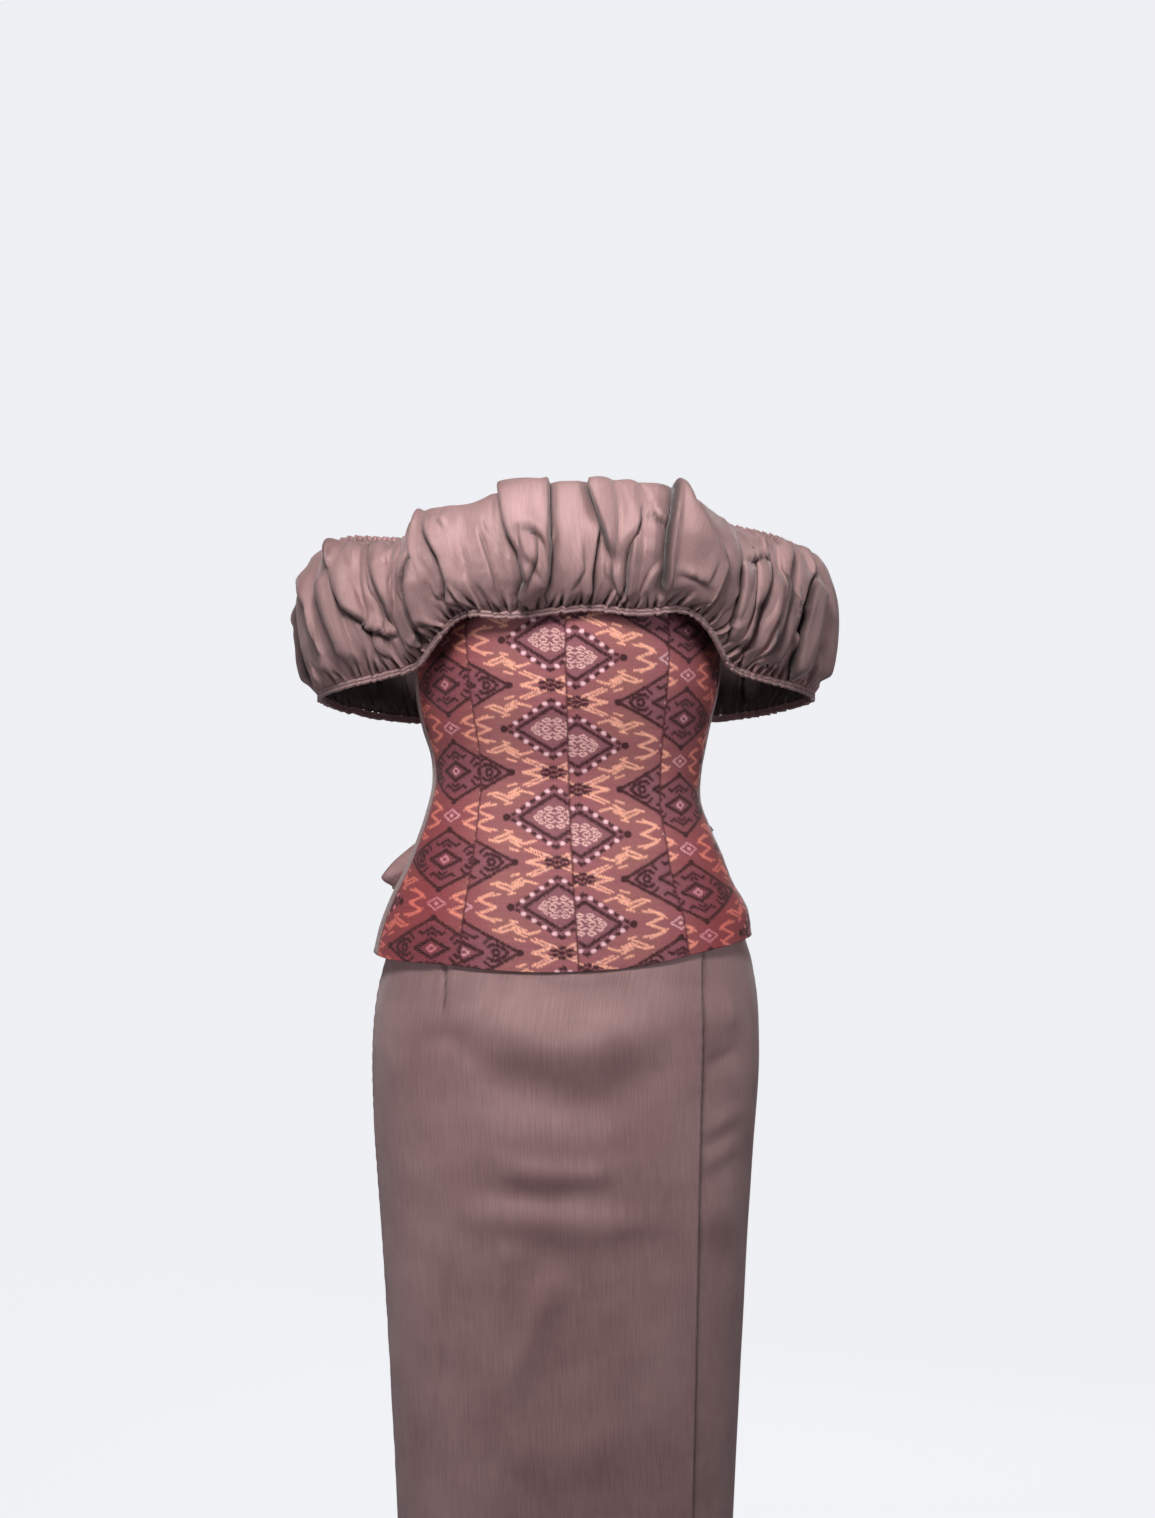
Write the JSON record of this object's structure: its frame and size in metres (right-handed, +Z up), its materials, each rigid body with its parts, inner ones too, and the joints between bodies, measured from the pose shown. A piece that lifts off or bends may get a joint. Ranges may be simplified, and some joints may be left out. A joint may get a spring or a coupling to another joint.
{
  "type": "off-the-shoulder blouse and long wrap-look skirt",
  "caption": "Fitted off-the-shoulder blouse with patterned front panels, a gathered shoulder ruffle and a back bow, over a long straight satin skirt with a wrapped front, worn and hollow.",
  "frame": {"origin": "middle of the waist, where the wearer holds the set", "axes": "+Z up the body, the front faces -Y, and the wearer's left is +X"},
  "size_m": [0.4868, 0.2854, 1.2053],
  "materials": {
    "satin": "mauve satin with a soft sheen",
    "patterned_cloth": "matt woven cloth with an ikat-like pattern of diamonds, dots and zigzags"
  },
  "bodies": {
    "root": {"bodice_back_right": "satin", "bodice_back_left": "satin", "ruffle_front": "satin", "ruffle_right": "satin", "ruffle_left": "satin", "ruffle_back": "satin", "ruffle_top_casing": "satin", "ruffle_hem_binding": "satin", "bow_loop_right": "satin", "bow_loop_left": "satin", "bow_knot": "satin", "skirt_front_overlap": "satin", "skirt_front_underlap": "satin", "skirt_back_right": "satin", "skirt_back_left": "satin", "skirt_waistband": "satin", "bodice_front_right": "patterned_cloth", "bodice_front_left": "patterned_cloth", "bodice_side_front_right": "patterned_cloth", "bodice_side_front_left": "patterned_cloth"}
  },
  "joints": []
}
